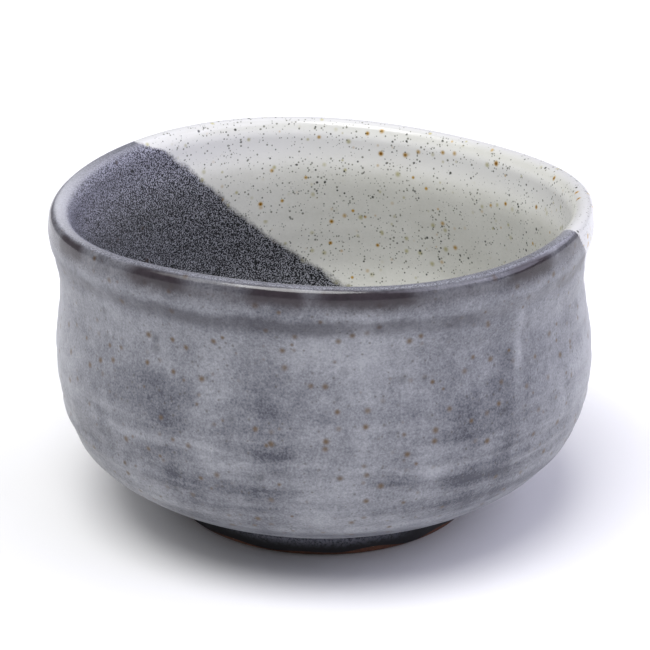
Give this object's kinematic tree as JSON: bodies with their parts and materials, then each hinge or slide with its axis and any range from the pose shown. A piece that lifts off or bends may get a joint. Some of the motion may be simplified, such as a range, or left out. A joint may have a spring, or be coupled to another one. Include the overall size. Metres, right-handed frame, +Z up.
{
  "type": "matcha bowl",
  "caption": "Round stoneware tea bowl with a rolled lip, a shallow neck, a full belly and a low foot ring, dipped in a dark blue-grey glaze and a white glaze.",
  "frame": {"origin": "centre of the face that the foot ring stands on", "axes": "+Z up through the mouth, -Y the front, which has dark glaze from lip to foot; the white glaze is on the +X +Y side"},
  "size_m": [0.1224, 0.1224, 0.0725],
  "materials": {
    "body_clay": "matte, hidden under the glaze",
    "foot_clay": "matte, fine grained",
    "indigo_glaze": "glossy, mottled blue-grey",
    "white_glaze": "glossy, warm white with iron specks",
    "well_glaze": "glossy, mottled blue-grey"
  },
  "bodies": {
    "root": {"stoneware_body": "body_clay", "foot_ring": "foot_clay", "indigo_glaze": "indigo_glaze", "white_glaze": "white_glaze", "foot_well_glaze": "well_glaze"}
  },
  "joints": []
}
